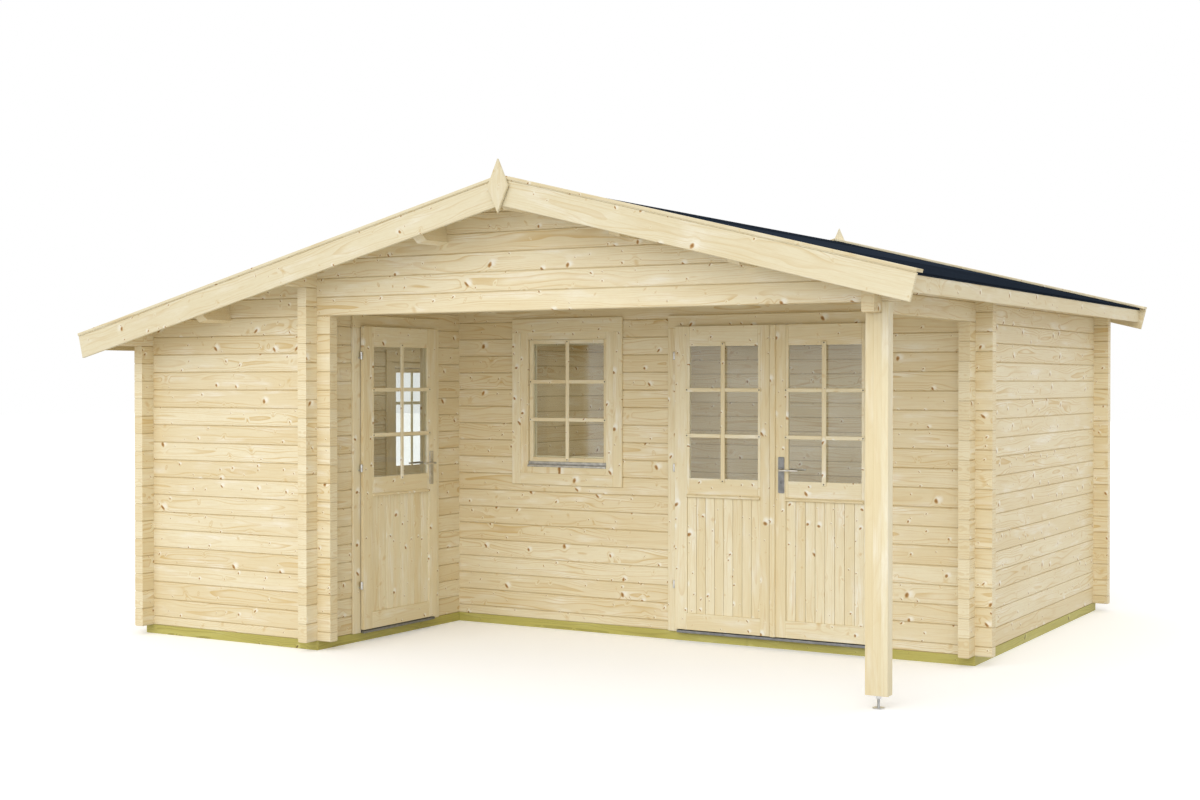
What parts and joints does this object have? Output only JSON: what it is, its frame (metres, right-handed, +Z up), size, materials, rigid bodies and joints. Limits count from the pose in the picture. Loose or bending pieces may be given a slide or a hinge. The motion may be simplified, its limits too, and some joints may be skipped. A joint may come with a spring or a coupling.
{
  "type": "wooden summer house",
  "caption": "Log summer house with a small side room, a main room behind a corner porch on a post, outward-opening glazed doors and a felt gable roof.",
  "frame": {"origin": "on the ground, under the middle of the roof's outline", "axes": "+X along the front to the right, +Y from the front to the back, +Z up"},
  "size_m": [5.7034, 4.874, 2.8723],
  "materials": {
    "log_wood": "bare planed spruce logs with knots",
    "planed_wood": "bare planed spruce boards",
    "treated_wood": "green pressure-treated timber",
    "roof_felt": "dark blue-grey roofing felt",
    "glass": "clear float glass",
    "steel": "plain grey metal"
  },
  "bodies": {
    "house": {"front_wall": "log_wood", "front_gable": "log_wood", "left_wall_lower": "log_wood", "left_wall_beside_window": "log_wood", "left_wall_plate": "log_wood", "porch_wall_front": "log_wood", "partition_wall": "log_wood", "porch_wall_upper": "log_wood", "main_wall_under_window": "log_wood", "main_wall_beside_window": "log_wood", "main_wall_right": "log_wood", "main_wall_over": "log_wood", "right_wall": "log_wood", "side_beam": "log_wood", "back_wall": "log_wood", "purlins": "log_wood", "small_room_floor": "planed_wood", "main_room_floor": "planed_wood", "roof_boards_left": "planed_wood", "roof_boards_right": "planed_wood", "front_bargeboards": "planed_wood", "back_bargeboards": "planed_wood", "front_caps": "planed_wood", "back_caps": "planed_wood", "eave_fascias": "planed_wood", "finials": "planed_wood", "porch_post": "planed_wood", "side_door_frame": "planed_wood", "double_door_frame": "planed_wood", "main_window_frame": "planed_wood", "main_window_sash": "planed_wood", "side_window_frame": "planed_wood", "side_window_sash": "planed_wood", "ground_bearers": "treated_wood", "cross_bearers": "treated_wood", "roof_felt_left": "roof_felt", "roof_felt_right": "roof_felt", "main_window_glass": "glass", "side_window_glass": "glass", "post_foot": "steel", "thresholds": "steel", "hinge_pins": "steel", "main_window_drip": "steel", "side_window_drip": "steel"},
    "side_door": {"side_door_leaf": "planed_wood", "side_door_glass": "glass", "side_door_fittings": "steel"},
    "side_lever": {"side_door_lever": "steel"},
    "left_door": {"left_leaf": "planed_wood", "left_leaf_glass": "glass", "left_leaf_hinges": "steel"},
    "right_door": {"right_leaf": "planed_wood", "right_leaf_glass": "glass", "right_leaf_fittings": "steel"},
    "double_lever": {"double_door_lever": "steel"}
  },
  "joints": [
    {"name": "side_door_swing", "type": "hinge", "parent": "house", "child": "side_door", "pos_m": [-1.0645, -1.723, 1.1], "axis": [0, 0, -1], "range_deg": [0, 110]},
    {"name": "left_leaf_swing", "type": "hinge", "parent": "house", "child": "left_door", "pos_m": [0.5992, -0.6445, 1.1], "axis": [0, 0, -1], "range_deg": [0, 110]},
    {"name": "right_leaf_swing", "type": "hinge", "parent": "house", "child": "right_door", "pos_m": [1.9851, -0.6445, 1.1], "axis": [0, 0, 1], "range_deg": [0, 110]},
    {"name": "side_lever_turn", "type": "hinge", "parent": "side_door", "child": "side_lever", "pos_m": [-1.101, -1.002, 1.108], "axis": [1, 0, 0], "range_deg": [0, 40], "stiffness_Nm_per_rad": 2, "springref_deg": -34.38},
    {"name": "double_lever_turn", "type": "hinge", "parent": "right_door", "child": "double_lever", "pos_m": [1.3499, -0.608, 1.108], "axis": [0, 1, 0], "range_deg": [0, 40], "stiffness_Nm_per_rad": 2, "springref_deg": -34.38}
  ]
}
